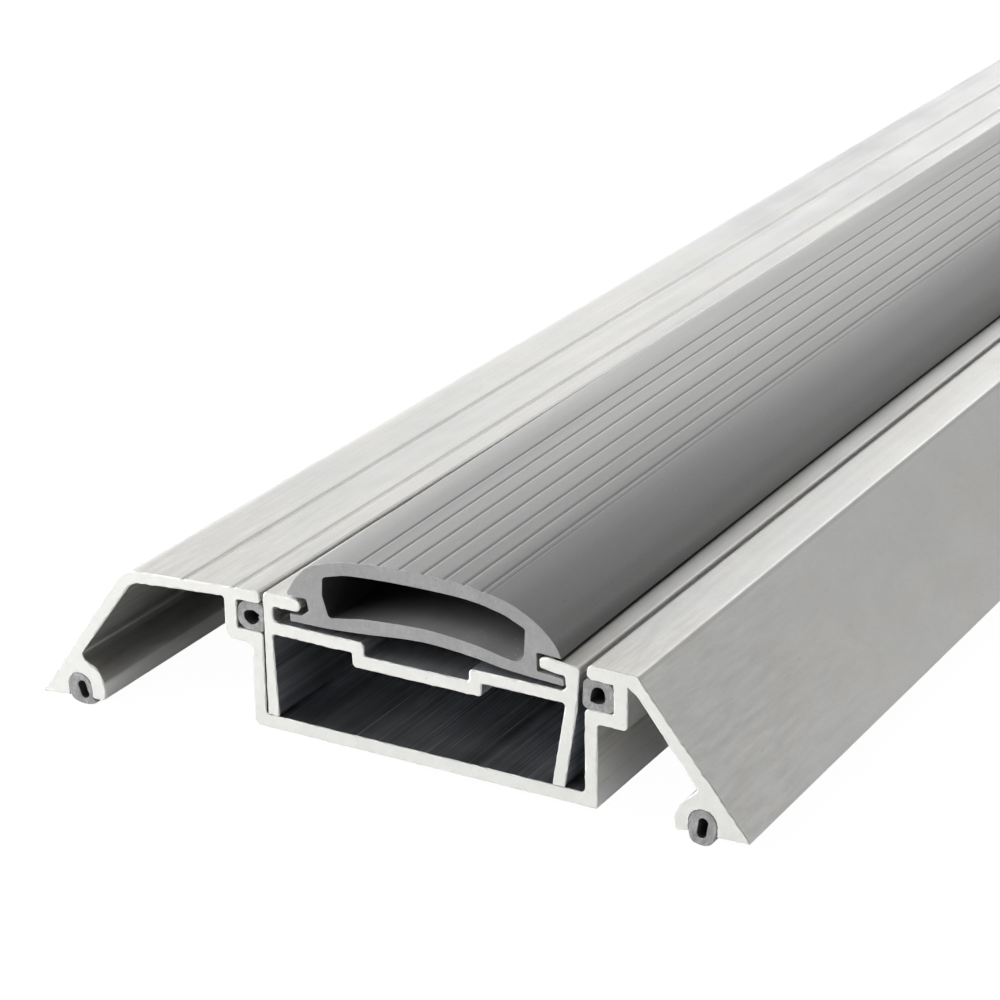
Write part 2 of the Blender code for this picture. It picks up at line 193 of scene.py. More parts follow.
def base_outline():
    """The base, from the channel's lower left corner round to the right, over the top and down the left."""
    left_hook = smooth(
        [(-44.65, -1.3), (-44.6, -0.4), (-44.85, 0.7), (-45.25, 1.5), (-45.8, 2.1), (-46.6, 2.45)], steps=4
    )
    right_hook = (RIGHT_SEAL[0], RIGHT_SEAL[1] - 0.4)
    grooves = [(x, PLATE_GROOVE_WIDTH, GROOVE_DEPTH) for x in PLATE_GROOVES]
    plate = grooved([(-21.8, 17.18), PLATE_CORNER], grooves)
    return rounded(
        [
            (-CHANNEL_HALF, 0, 0.8),
            (CHANNEL_HALF, 0, 0.3),
            (CHANNEL_HALF, POCKET_UNDER, 0.3),
            (POCKET_OUTER, POCKET_UNDER, 0.6),
            (POCKET_OUTER, 15.7),
            (27.7, 14.65),
            (34.95, 5.35, 0.3),
            *arc(right_hook, HOOK_RADIUS, 135, 190),
            (32.35, -0.05, 0.3),
            *foot_groove(RIGHT_SEAL, (0.25, 0.2)),
            (41.45, 0.3, 0.15),
            (*RIGHT_CORNER, 0.5),
            (LIP_END, TOP_RIGHT, 0.7),
            (LIP_END, POCKET_CEILING, 0.6),
            (POCKET_INNER, POCKET_CEILING, 0.25),
            (POCKET_INNER, POCKET_FLOOR, 0.25),
            (CHANNEL_INNER, POCKET_FLOOR, 0.6),
            (CHANNEL_INNER, FLOOR, 0.5),
            (-CHANNEL_INNER, FLOOR, 0.5),
            (-CHANNEL_INNER, POCKET_FLOOR, 0.4),
            (-POCKET_INNER, POCKET_FLOOR, 0.25),
            (-POCKET_INNER, POCKET_CEILING, 0.25),
            (-LIP_END, POCKET_CEILING, 0.4),
            (-LIP_END, TOP_LEFT, 0.3),
            *plate[1:-1],
            (*PLATE_CORNER, 4.0),
            (*LEFT_TIP, 0.15),
            *foot_groove(LEFT_SEAL, (-2.3, -1.9)),
            (-45.9, -2.15, 0.4),
            (-44.8, -2.0, 0.4),
            *left_hook,
            (-47.45, 2.95, 0.3),
            (-47.75, 3.7, 0.3),
            (-39.6, 14.65, 2.45),
            (-POCKET_OUTER, POCKET_CEILING, 0.4),
            (-POCKET_OUTER, POCKET_UNDER, 1.4),
            (-CHANNEL_HALF, POCKET_UNDER, 0.8),
        ]
    )


def riser_outline():
    """The riser, from its left leg round to the right, over the right flange and back along the deck."""
    return rounded(
        [
            (-20.85, RISER_FOOT, 0.12),
            (-19.25, RISER_FOOT, 0.25),
            (-19.75, 12.15, 0.4),
            (-8.93, 12.15, 0.3),
            (-8.93, 10.4, 0.5),
            (8.08, 10.4, 0.5),
            (8.08, 12.05, 0.3),
            (18.7, 12.05, 0.4),
            (17.0, RISER_FOOT, 0.15),
            (18.6, RISER_FOOT, 0.15),
            (20.15, 11.4, 1.0),
            (20.5, 16.7, 0.4),
            (16.6, 17.1, 0.8),
            (15.5, 16.9, 0.5),
            (15.5, 15.6, 0.5),
            (18.65, 15.3, 0.3),
            (18.85, 13.55, 0.6),
            (6.45, 13.55, 0.6),
            (6.45, 12.05, 0.3),
            (-7.3, 12.05, 0.3),
            (-7.3, 13.7, 0.6),
            (-19.6, 13.7, 0.9),
            (-19.6, 15.65, 0.3),
            (-15.8, 15.65, 0.75),
            (-15.8, 17.25, 0.75),
            (-20.9, 17.25, 0.5),
        ]
    )


def crown_outline():
    """The crown's outside: its underside, the slot for the right flange, its top and the left slot."""
    underside = smooth(
        [(-17.15, 14.4), (-12.1, 14.5), (-7.7, 14.8), (0.2, 15.5), (6.7, 15.15), (11.5, 14.5), (18.4, 14.1)]
    )
    top = smooth(
        [
            (18.2, 17.5),
            (17.45, 18.85),
            (15.6, 20.65),
            (12.7, 22.3),
            (9.4, 23.2),
            (5.0, 23.75),
            (0.0, 23.9),
            (-5.0, 23.75),
            (-10.2, 23.1),
            (-14.3, 21.75),
            (-16.3, 19.95),
            (-17.5, 18.0),
        ],
        steps=10,
    )
    grooves = [(x, CROWN_GROOVE_WIDTH, GROOVE_DEPTH) for x in CROWN_GROOVES] + [FAINT_GROOVE]
    return [
        *underside,
        *rounded_run([(18.55, 14.2), (18.5, 14.95), (15.2, 15.2), (15.15, 17.45), (18.25, 17.3)], 0.25),
        *grooved(top, grooves),
        *rounded_run([(-17.4, 17.6), (-14.9, 17.6), (-14.6, 16.2), (-15.6, 15.35), (-17.2, 15.3)], 0.25),
    ]


def crown_hollow():
    """The D-shaped hollow in the crown."""
    floor = smooth([(-9.6, 16.25), (-6.3, 16.75), (1.0, 17.15), (7.0, 16.7), (10.8, 16.0)])
    roof = smooth([(12.6, 20.45), (10.4, 21.25), (6.0, 21.95), (-2.2, 22.0), (-8.8, 21.65), (-11.2, 21.15)])
    right_end = rounded_run([floor[-1], (13.5, 15.6, 1.2), (13.75, 19.95), roof[0]], 0.4)
    left_end = rounded_run([roof[-1], (-12.6, 20.75), (-12.7, 18.5), (-11.9, 15.85), floor[0]], 0.6)
    return [*floor[:-1], *right_end, *roof[1:-1], *left_end[:-1]]


def gasket_outlines():
    """Each side gasket's outside and hole. The left one is nearly a round tube, pressed flat on its right
    side, and the right one is squarer, with a hole flat on its left side."""
    left = rounded([(-24.6, 12.03, 1.5), (-20.98, 12.05, 0.5), (-20.98, 15.55, 0.8), (-24.6, 15.57, 1.4)])
    left_hole = smooth(
        [
            (-21.6, 14.0), (-21.65, 14.25), (-22.3, 14.55), (-23.0, 14.5), (-23.55, 14.25), (-23.7, 13.8),
            (-23.5, 13.2), (-22.75, 12.75), (-22.1, 12.95), (-21.75, 13.3), (-21.6, 13.7), (-21.75, 13.85),
            (-21.6, 14.0),
        ],
        steps=4,
    )[:-1]
    right = rounded([(20.78, 12.0, 0.75), (24.62, 12.03, 0.55), (24.62, 15.57, 0.95), (20.9, 15.57, 0.7)])
    right_hole = smooth(
        [
            (21.8, 13.0), (22.5, 12.85), (23.25, 12.95), (23.6, 13.45), (23.6, 14.0), (23.45, 14.5),
            (23.05, 14.85), (22.45, 14.8), (22.1, 14.5), (21.9, 14.0), (21.8, 13.3), (21.8, 13.0),
        ],
        steps=4,
    )[:-1]
    return (left, left_hole), (right, right_hole)


def seal_outlines(centre, lower, hole_top, hole_bottom):
    """A foot seal's outside, round where it fills its groove and smooth through the points below it, and
    its hole, a slot between two centres."""
    left = (centre[0] - SEAL_RADIUS, centre[1] - 0.1)
    right = (centre[0] + SEAL_RADIUS, centre[1] - 0.1)
    outside = [*arc(centre, SEAL_RADIUS, 0, 180), *smooth([left, *lower, right], steps=5)]
    hole = [*arc(hole_top, SEAL_HOLE_RADIUS, 10, 190), *arc(hole_bottom, SEAL_HOLE_RADIUS, 190, 370)]
    return outside, hole


# ---- Meshes --------------------------------------------------------------------------------------------

def inset_by(outline, amounts):
    """The outline moved inwards by an amount at each point (outwards where it is a hole, which runs the
    other way round). Round a corner it moves by less than the corner's radius, so it never folds over."""
    straight = 0.02  # radians; a turn below this is no corner
    share = 0.8  # of the corner's radius
    moved = []
    count = len(outline)
    for i, here in enumerate(outline):
        before, after = outline[i - 1], outline[(i + 1) % count]
        arriving = Vector((here[0] - before[0], here[1] - before[1]))
        leaving = Vector((after[0] - here[0], after[1] - here[1]))
        along = arriving + leaving
        turn = math.atan2(arriving.cross(leaving), arriving.dot(leaving))
        amount = amounts[i]
        if turn > straight:
            radius = along.length / (2 * math.sin(min(turn, math.pi / 2)))
            amount = min(amount, share * radius)
        along.normalize()
        moved.append((here[0] - along.y * amount, here[1] + along.x * amount))
    return moved


def area(outline):
    """The outline's area, above zero if it runs anticlockwise."""
    return sum(a[0] * b[1] - b[0] * a[1] for a, b in zip(outline, outline[1:] + outline[:1])) / 2


def wave(x, z, frequency, shift, seed):
    """Smooth noise between -1 and 1 across the section; frequency is in waves to the millimetre."""
    return noise.noise(Vector((x * frequency, z * frequency, shift)) + seed)


def worn_edge(loop, ragged, seed):
    """How far each point of a cut edge lies inwards and how far it lies back, after the saw. ragged is the
    usual distance, which wanders slowly and finely and is larger where the edge has chipped."""
    insets, setbacks = [], []
    for x, z in loop:
        wander = wave(x, z, 0.9, 0, seed)
        grain = wave(x, z, 2.6, 9, seed)
        swell = wave(x, z, 0.28, 6, seed)
        chip = max(0.0, wave(x, z, 0.7, 3, seed) - 0.35)
        least = 0.012 + 0.004 * grain
        worn = ragged * (0.6 + 0.8 * wander + 0.9 * grain + 0.8 * swell + 2.0 * chip)
        insets.append(max(least, worn))
        setbacks.append(max(0.02, ragged * (0.8 + 0.6 * grain)))
    return insets, setbacks


def finished(work, name, materials=(), crisp=None):
    """The bmesh as an object. It is shaded smooth if crisp is given, except at edges that turn by more
    than that many degrees."""
    bmesh.ops.recalc_face_normals(work, faces=work.faces)
    mesh = bpy.data.meshes.new(name)
    work.to_mesh(mesh)
    work.free()
    if crisp:
        mesh.shade_smooth()
        mesh.set_sharp_from_angle(angle=math.radians(crisp))
    for made in materials:
        mesh.materials.append(made)
    obj = bpy.data.objects.new(name, mesh)
    bpy.context.scene.collection.objects.link(obj)
    return obj


def strip_rings(loop, k, places, ragged, ends):
    """The rings of one loop along the strip: the cut face's edge and the worn edge at the near end, one at
    each place, and the same two at the far end. k is the loop's number."""
    near, far = [], []
    for rings, side, end in ((near, 1, ends[0]), (far, -1, ends[1])):
        insets, setbacks = worn_edge(loop, ragged, Vector((17.0 * k, 31.0 * side, 5.0)))
        rings.append([(x, end, z) for x, z in inset_by(loop, insets)])
        rings.append([(x, end + side * back, z) for (x, z), back in zip(loop, setbacks)])
    return [*near, *([(x, y, z) for x, z in loop] for y in places), *reversed(far)]


RUN, CUT, INSIDE = 0, 1, 2  # the places of a strip's materials


def strip(name, outlines, places, ragged, materials, step=0.5, bend=None, recess=(0.0, 0.0)):
    """An extrusion along Y, with a ring at each of the places and with fine, slightly uneven cut ends.
    outlines[0] is the outside and the others are holes; ragged is how far the cut edges wander; step is the
    longest side of a face across the run; bend moves a point (x, y, z); recess is how far the two cut ends
    lie inside the strip's own. Materials are for the run, the cut faces and, if there is a third, the
    insides of the holes."""
    work = bmesh.new()
    ends = (-HALF_LENGTH + recess[0], HALF_LENGTH - recess[1])
    caps = []
    for k, outline in enumerate(outlines):
        anticlockwise = area(outline) > 0
        if anticlockwise != (k == 0):
            outline = outline[::-1]
        verts = []
        for ring in strip_rings(fine(outline, step), k, places, ragged, ends):
            if bend:
                ring = [bend(*p) for p in ring]
            ring = [((x + ORIGIN_X) * MM, y * MM, (z + ORIGIN_Z) * MM) for x, y, z in ring]
            verts.append([work.verts.new(place) for place in ring])
        side = INSIDE if k and len(materials) > INSIDE else RUN
        for j, (near, far) in enumerate(zip(verts, verts[1:])):
            made_of = CUT if j in (0, len(verts) - 2) else side
            for i in range(len(near)):
                after = (i + 1) % len(near)
                work.faces.new((near[i], near[after], far[after], far[i])).material_index = made_of
        caps.append((verts[0], verts[-1]))
    for end in (0, 1):
        flat = [v for cap in caps for v in cap[end]]
        polygons = [[Vector((v.co.x / MM, v.co.z / MM, 0)) for v in cap[end]] for cap in caps]
        for triangle in tessellate_polygon(polygons):
            corners = [flat[i] for i in triangle]
            if len(set(corners)) == 3:
                work.faces.new(corners).material_index = CUT
    return finished(work, name, materials, crisp=24)


def turned(profile, x, y, segments, radius_at=None, hollow=False):
    """A turned solid, as a bmesh, about an upright axis, from (radius, z) points: a run from its top face to
    its bottom face, or if it is hollow a closed ring of them. radius_at changes a point's radius."""
    work = bmesh.new()
    rings = []
    for radius, z in profile:
        ring = []
        for i in range(segments):
            angle = 2 * math.pi * i / segments
            r = radius_at(radius, angle, z) if radius_at else radius
            place = (x + ORIGIN_X + r * math.cos(angle), y + r * math.sin(angle), z + ORIGIN_Z)
            ring.append(work.verts.new(Vector(place) * MM))
        rings.append(ring)
    for upper, lower in zip(rings, rings[1:] + (rings[:1] if hollow else [])):
        for i in range(segments):
            after = (i + 1) % segments
            work.faces.new((upper[i], lower[i], lower[after], upper[after]))
    if not hollow:
        work.faces.new(rings[0])
        work.faces.new(rings[-1])
    return work


def cylinder_tool(name, rings, x, y):
    """A closed tool for a Boolean cut, from (radius, z) rings listed from the top down."""
    return finished(turned(rings, x, y, segments=48), name)


def cut_with(obj, tools):
    """Cuts the tools out of obj's mesh and deletes them."""
    for tool in tools:
        modifier = obj.modifiers.new("cut", "BOOLEAN")
        modifier.operation = "DIFFERENCE"
        modifier.solver = "EXACT"
        modifier.object = tool
    bpy.context.view_layer.update()
    evaluated = obj.evaluated_get(bpy.context.evaluated_depsgraph_get())
    mesh = bpy.data.meshes.new_from_object(evaluated)
    old = obj.data
    obj.modifiers.clear()
    obj.data = mesh
    bpy.data.meshes.remove(old)
    mesh.name = obj.name
    for tool in tools:
        left_over = tool.data
        bpy.data.objects.remove(tool)
        bpy.data.meshes.remove(left_over)


# ---- Materials -----------------------------------------------------------------------------------------

class Surface:
    """A node material with short calls for adding nodes. Patterns lie in the object's own space, in metres.
    An area is a value that is 1 where the area lies and 0 elsewhere."""

    def __init__(self, name):
        self.material = bpy.data.materials.new(name)
        self.material.use_nodes = True
        self.tree = self.material.node_tree
        self.shader = self.tree.nodes["Principled BSDF"]
        self.place = self.tree.nodes.new("ShaderNodeTexCoord").outputs["Object"]

    def node(self, kind, settings=None, **inputs):
        """Adds a node and sets or links its inputs, by name or, as _0, _1 and so on, by number."""
        made = self.tree.nodes.new(kind)
        for key, value in (settings or {}).items():
            setattr(made, key, value)
        for key, value in inputs.items():
            self.set(made.inputs[int(key[1:]) if key[0] == "_" and key[1:].isdigit() else key], value)
        return made

    def set(self, socket, value):
        """Links value to the socket if it is a socket too, and otherwise writes it there."""
        if isinstance(value, bpy.types.NodeSocket):
            self.tree.links.new(value, socket)
        else:
            socket.default_value = value

    def section(self):
        """The x and z of the section drawings, in millimetres."""
        place = self.node("ShaderNodeSeparateXYZ", Vector=self.place).outputs
        x = self.maths("SUBTRACT", self.maths("MULTIPLY", place["X"], 1 / MM), ORIGIN_X)
        return x, self.maths("SUBTRACT", self.maths("MULTIPLY", place["Z"], 1 / MM), ORIGIN_Z)

    def end_distance(self):
        """Millimetres from the nearer cut end."""
        y = self.node("ShaderNodeSeparateXYZ", Vector=self.place).outputs["Y"]
        return self.maths("SUBTRACT", HALF_LENGTH, self.maths("ABSOLUTE", self.maths("MULTIPLY", y, 1 / MM)))

    def facing_up(self):
        """The upward part of the face's normal, from -1 to 1."""
        normal = self.node("ShaderNodeNewGeometry").outputs["True Normal"]
        return self.node("ShaderNodeSeparateXYZ", Vector=normal).outputs["Z"]

    def within(self, value, centre, half, soft):
        """1 where value is within half of centre, fading to 0 over soft."""
        away = self.maths("ABSOLUTE", self.maths("SUBTRACT", value, centre))
        return self.ranged(away, half, half + soft, 1.0, 0.0)

    def stretched(self, x, y, z, shift=0.0):
        """The position, counted in steps of x, y and z millimetres along the axes. shift moves it, so that
        two patterns of one size differ."""
        mapping = self.node("ShaderNodeMapping", Vector=self.place)
        mapping.inputs["Scale"].default_value = (1 / (x * MM), 1 / (y * MM), 1 / (z * MM))
        mapping.inputs["Location"].default_value = (shift, shift * 0.7, shift * 1.3)
        return mapping.outputs["Vector"]

    def noise(self, vector, detail=3.0, roughness=0.55, distortion=0.0):
        """Smooth noise about 0.5, one step of the vector to a wave."""
        made = self.node("ShaderNodeTexNoise", Vector=vector, Scale=1.0, Detail=detail, Roughness=roughness,
                         Distortion=distortion)
        return made.outputs["Fac"]

    def ranged(self, value, low, high, to_low, to_high):
        """value from low..high mapped to to_low..to_high, held at the ends."""
        made = self.node("ShaderNodeMapRange", _0=value, _1=low, _2=high, _3=to_low, _4=to_high)
        return made.outputs["Result"]

    def stepped(self, value, pairs):
        """A factor that runs straight from one (value, factor) pair to the next, held at both ends."""
        factor = pairs[0][1]
        for (start, before), (end, after) in zip(pairs, pairs[1:]):
            factor = self.maths("ADD", factor, self.ranged(value, start, end, 0.0, after - before))
        return factor

    def maths(self, operation, a, b=0.0):
        """A sum or another operation on two values."""
        return self.node("ShaderNodeMath", {"operation": operation}, _0=a, _1=b).outputs["Value"]

    def both(self, first, *others):
        """The area where all of the given ones lie."""
        shared = first
        for other in others:
            shared = self.maths("MULTIPLY", shared, other)
        return shared

    def sum_of(self, *shares):
        """The sum of (value, share) pairs."""
        total = None
        for value, share in shares:
            part = self.maths("MULTIPLY", value, share)
            total = part if total is None else self.maths("ADD", total, part)
        return total

    def shaded(self, value, where, factor):
        """The value, multiplied by factor in an area."""
        change = self.maths("ADD", self.maths("MULTIPLY", where, self.maths("SUBTRACT", factor, 1.0)), 1.0)
        return self.maths("MULTIPLY", value, change)

    def scaled(self, colour, factor):
        """The colour, made lighter or darker by factor."""
        made = self.node("ShaderNodeVectorMath", {"operation": "SCALE"}, _0=colour, Scale=factor)
        return made.outputs["Vector"]

    def specks(self, x, y, z):
        """Scattered dots about x, y and z millimetres apart: the distance from the nearest, and its own
        number between 0 and 1."""
        dots = self.node("ShaderNodeTexVoronoi", {"feature": "F1"}, Vector=self.stretched(x, y, z), Scale=1.0)
        number = self.node("ShaderNodeSeparateColor", Color=dots.outputs["Color"]).outputs["Red"]
        return dots.outputs["Distance"], number

    def mixed(self, fac, a, b):
        """Colour a where fac is 0, b where it is 1."""
        made = self.node("ShaderNodeMix", {"data_type": "RGBA"})
        self.set(made.inputs[0], fac)
        self.set(made.inputs[6], a)
        self.set(made.inputs[7], b)
        return made.outputs[2]

    def bump(self, *heights):
        """Heights in metres, given as (socket, metres) pairs, added up into one bump."""
        made = self.node("ShaderNodeBump", Strength=1.0, Distance=1.0, Height=self.sum_of(*heights))
        self.set(self.shader.inputs["Normal"], made.outputs["Normal"])


# The outer face of the left ramp, as the x at z = 0 and the change in x for each millimetre up
LEFT_RAMP_SLOPE = (PLATE_CORNER[0] - LEFT_TIP[0]) / (PLATE_CORNER[1] - LEFT_TIP[1])
LEFT_RAMP_X = LEFT_TIP[0] - LEFT_TIP[1] * LEFT_RAMP_SLOPE

# How light the metal's colour is painted, as (place, factor) pairs: painted light and shade in place of the
# light's own fall along and across the strip. The place is the distance from the cut end, except on the right
# flange, where it is x, and on the hidden side of the left ramp and the channel's outer wall, where it is z.
LEFT_PLATE_LIGHT = ((0.0, 0.84), (150.0, 1.03))
RIGHT_PLATE_LIGHT = ((20.0, 0.93), (110.0, 0.86))
RIGHT_RAMP_LIGHT = ((0.0, 0.85), (35.0, 0.86), (90.0, 0.81))
CHANNEL_FLOOR_LIGHT = ((2.0, 0.45), (15.0, 1.4))
CHANNEL_LEFT_LIGHT = ((2.0, 1.0), (9.0, 0.35))
# The crown's painted shadow on the right flange
FLANGE_PAINTED_SHADOW = ((17.6, 0.2), (18.5, 0.42), (19.3, 0.55))
# Painted shade on the hidden side of the left ramp and its hook, with lighter painted bands near its foot and
# at the notch
LEFT_HIDDEN_LIGHT = (
    (-1.2, 1.15), (-0.4, 1.7), (0.5, 0.62), (2.8, 0.4), (3.4, 0.42), (3.7, 0.82), (4.6, 0.42), (9.0, 0.45),
    (14.0, 0.4),
)
# Painted light low on the channel's outer wall, turning to painted shade higher up
RIGHT_WALL_LIGHT = ((1.0, 1.42), (7.5, 0.76))


def metal_areas(s):
    """The areas of the extrusions that differ in look, by name; in most of them light or shade is painted into
    the colour.
    """
    x, z = s.section()
    upward = s.ranged(s.facing_up(), -0.1, 0.25, 0.0, 1.0)
    sideways = s.ranged(upward, 0.0, 1.0, 1.0, 0.0)
    plate_height = s.within(z, 17.0, 0.7, 0.3)
    right_of_corner = s.ranged(x, RIGHT_CORNER[0] - 0.15, RIGHT_CORNER[0] + 0.35, 0.0, 1.0)
    left_of_corner = s.ranged(x, PLATE_CORNER[0] - 2.2, PLATE_CORNER[0] - 0.7, 1.0, 0.0)
    ramps = s.both(s.maths("MAXIMUM", right_of_corner, left_of_corner), upward)
    no_ramp = s.ranged(ramps, 0.0, 1.0, 1.0, 0.0)
    channel = s.both(s.within(x, 0.0, CHANNEL_INNER + 0.1, 0.2), s.within(z, 7.3, 6.4, 0.5))
    behind = s.maths("SUBTRACT", x, s.maths("ADD", s.maths("MULTIPLY", z, LEFT_RAMP_SLOPE), LEFT_RAMP_X))
    grooves = s.maths("MAXIMUM", *[s.within(x, centre, 0.36, 0.12) for centre in PLATE_GROOVES])
    groove_sides = s.maths("MAXIMUM", *[s.within(x, centre + 0.24, 0.2, 0.1) for centre in PLATE_GROOVES])
    return {
        "upward": upward,
        "ramps": ramps,
        "channel": channel,
        "channel_floor": s.both(channel, s.within(z, FLOOR, 0.3, 0.2)),
        "channel_left": s.both(channel, s.within(x, -19.4, 0.7, 0.3), sideways),
        "left_plate": s.both(upward, s.ranged(x, -20.0, -19.0, 1.0, 0.0), no_ramp),
        "right_plate": s.both(upward, s.within(x, 24.2, 3.2, 0.3), plate_height),
        "right_flange": s.both(upward, s.within(x, 19.0, 1.6, 0.3), plate_height),
        "left_lip_edge": s.both(s.within(x, -21.25, 0.45, 0.1), s.ranged(z, 16.7, 16.9, 0.0, 1.0)),
        "right_ramp": s.both(ramps, s.ranged(x, 20.0, 21.0, 0.0, 1.0)),
        "right_corner": s.both(upward, s.within(x, RIGHT_CORNER[0] + 0.1, 0.2, 0.15)),
        "left_hidden": s.both(
            s.ranged(behind, 0.5, 0.9, 0.0, 1.0),
            s.ranged(x, -27.5, -26.0, 1.0, 0.0),
            s.ranged(z, POCKET_CEILING + 0.05, POCKET_CEILING + 0.2, 1.0, 0.0),
        ),
        "right_wall": s.both(sideways, s.within(x, CHANNEL_HALF, 0.3, 0.2)),
        "grooves": s.both(grooves, upward),
        "groove_sides": s.both(groove_sides, upward),
    }


def metal_light(s, areas, streaks):
    """How light the metal's colour is: the streaks, strongest where it is hidden, and light and shade painted
    in by area.
    """
    x, z = s.section()
    depth = s.end_distance()
    bands = s.noise(s.stretched(2.6, 260, 2.6, 7.7), 2.0)
    tone = s.sum_of((streaks, 0.7), (bands, 0.3))
    contrast = s.ranged(areas["upward"], 0.0, 1.0, 2.2, 0.35)
    for name, more in (("channel", 1.8), ("channel_floor", 1.0), ("left_hidden", 1.8)):
        contrast = s.maths("ADD", contrast, s.maths("MULTIPLY", areas[name], more))
    contrast = s.shaded(contrast, areas["ramps"], 0.25)
    light = s.maths("ADD", s.maths("MULTIPLY", s.maths("SUBTRACT", tone, 0.5), contrast), 1.0)

    scratches = s.ranged(s.noise(s.stretched(0.16, 20, 0.16, 12.3), 2.0), 0.6, 0.7, 0.0, 1.0)
    rubbed = s.ranged(s.noise(s.stretched(0.8, 7, 0.8, 15.1), 4.0, 0.6, 0.5), 0.3, 0.7, 0.92, 1.07)
    # Painted light: the right ramp's colour gets lighter towards its foot.
    down_the_ramp = s.ranged(x, 32.0, 41.0, 1.0, 1.11)
    # All but the last two are painted light and shade: the channel painted darker, the crown's painted shadow
    # on the flange, painted shade on the left lip's edge, on the right corner's rounding and in and beside the
    # plate grooves. The last two are scratches and rubbed patches.
    changes = [
        (areas["channel"], 0.6),
        (areas["channel_floor"], s.stepped(depth, CHANNEL_FLOOR_LIGHT)),
        (areas["channel_left"], s.stepped(depth, CHANNEL_LEFT_LIGHT)),
        (areas["left_plate"], s.stepped(depth, LEFT_PLATE_LIGHT)),
        (areas["right_plate"], s.stepped(depth, RIGHT_PLATE_LIGHT)),
        (areas["right_flange"], s.stepped(x, FLANGE_PAINTED_SHADOW)),
        (areas["left_lip_edge"], 0.72),
        (areas["right_ramp"], s.maths("MULTIPLY", s.stepped(depth, RIGHT_RAMP_LIGHT), down_the_ramp)),
        (areas["right_corner"], 0.86),
        (areas["left_hidden"], s.stepped(z, LEFT_HIDDEN_LIGHT)),
        (areas["right_wall"], s.stepped(z, RIGHT_WALL_LIGHT)),
        (areas["grooves"], 0.76),
        (areas["groove_sides"], 0.62),
        (s.both(areas["channel_floor"], scratches), 2.0),
        (s.both(areas["upward"], s.ranged(depth, 8.0, 45.0, 1.0, 0.0)), rubbed),
    ]
    for where, factor in changes:
        light = s.shaded(light, where, factor)
    return light


def mill_metal():
    """Mill-finish aluminium: die lines along the strip, faint cloudy stains and tiny specks, and light and
    shade painted into its colour.
    The plates and ramps are evenly light, their grooves are rougher and painted darker, and the hidden
    undersides are painted dark and are streaky."""
    s = Surface("mill_aluminium_lines")
    areas = metal_areas(s)
    hair = s.noise(s.stretched(0.1, 45, 0.1), 2.0)
    lines = s.noise(s.stretched(0.42, 130, 0.42, 3.1), 3.0)
    streaks = s.sum_of((hair, 0.6), (lines, 0.4))
    light = metal_light(s, areas, streaks)

    away, number = s.specks(1.5, 2.2, 1.5)
    spot = s.both(s.ranged(away, 0.06, 0.12, 1.0, 0.0), s.ranged(number, 0.86, 0.9, 0.0, 1.0))
    light = s.shaded(light, spot, 0.9)
    grain = s.noise(s.stretched(0.3, 0.4, 0.3, 5.2), 3.0, 0.65)
    light = s.maths("MULTIPLY", light, s.ranged(grain, 0.25, 0.75, 0.965, 1.035))
    patches = s.noise(s.stretched(4.5, 9, 4.5, 8.4), 4.0, 0.62, 0.6)
    light = s.maths("MULTIPLY", light, s.ranged(patches, 0.3, 0.7, 0.975, 1.025))

    clouds = s.noise(s.stretched(9, 22, 9, 1.9), 4.0, 0.6, 0.4)
    at_end = s.ranged(s.end_distance(), 0.0, 34.0, 1.0, 0.4)
    stain = s.both(s.ranged(clouds, 0.48, 0.7, 0.0, 0.8), at_end)
    tint = s.mixed(stain, (1.0, 0.997, 0.975, 1), (0.965, 0.93, 0.87, 1))
    # Inside the channel the painted shade is also given a cooler colour.
    tint = s.mixed(areas["channel"], tint, (0.95, 0.99, 1.04, 1))
    s.set(s.shader.inputs["Base Color"], s.scaled(tint, light))
    s.set(s.shader.inputs["Metallic"], 1.0)
    rough = s.maths("ADD", s.ranged(streaks, 0.3, 0.7, 0.38, 0.5), s.ranged(clouds, 0.3, 0.7, -0.03, 0.05))
    duller = s.sum_of((areas["grooves"], 0.3), (areas["ramps"], 0.08))
    s.set(s.shader.inputs["Roughness"], s.maths("ADD", rough, duller))
    relief = s.ranged(areas["ramps"], 0.0, 1.0, 1.0, 0.3)
    s.bump((s.both(hair, relief), 0.000006), (s.both(lines, relief), 0.00001), (spot, -0.00001))
    return s.material


def cut_metal():
    """The sawn ends: off-white, with fine saw marks, a soft mottle and a few small dents, and painted shade
    where their worn edges face up."""
    s = Surface("mill_aluminium_sawn")
    marks = s.noise(s.stretched(0.16, 8, 9, 2.2), 2.0)
    mottle = s.noise(s.stretched(1.3, 1.3, 1.3, 4.4), 4.0, 0.6)
    grain = s.noise(s.stretched(0.3, 0.3, 0.3, 1.4), 3.0, 0.6)
    dents = s.noise(s.stretched(0.7, 0.7, 0.7, 8.8), 2.0)
    pit = s.ranged(dents, 0.68, 0.76, 0.0, 1.0)
    soft = s.sum_of((mottle, 0.65), (grain, 0.35))
    colour = s.mixed(s.ranged(soft, 0.3, 0.7, 0, 1), (0.66, 0.663, 0.635, 1), (0.75, 0.753, 0.725, 1))
    colour = s.mixed(s.maths("MULTIPLY", pit, 0.4), colour, (0.45, 0.46, 0.46, 1))
    # Painted shade: darker where the face turns upwards.
    colour = s.mixed(s.ranged(s.facing_up(), 0.15, 0.5, 0.0, 0.45), colour, (0.4, 0.4, 0.39, 1))
    s.set(s.shader.inputs["Base Color"], colour)
    s.set(s.shader.inputs["Metallic"], 0.3)
    s.set(s.shader.inputs["Roughness"], s.ranged(mottle, 0.3, 0.7, 0.55, 0.7))
    s.bump((marks, 0.000012), (mottle, 0.00002), (grain, 0.000008), (pit, -0.00004))
    return s.material


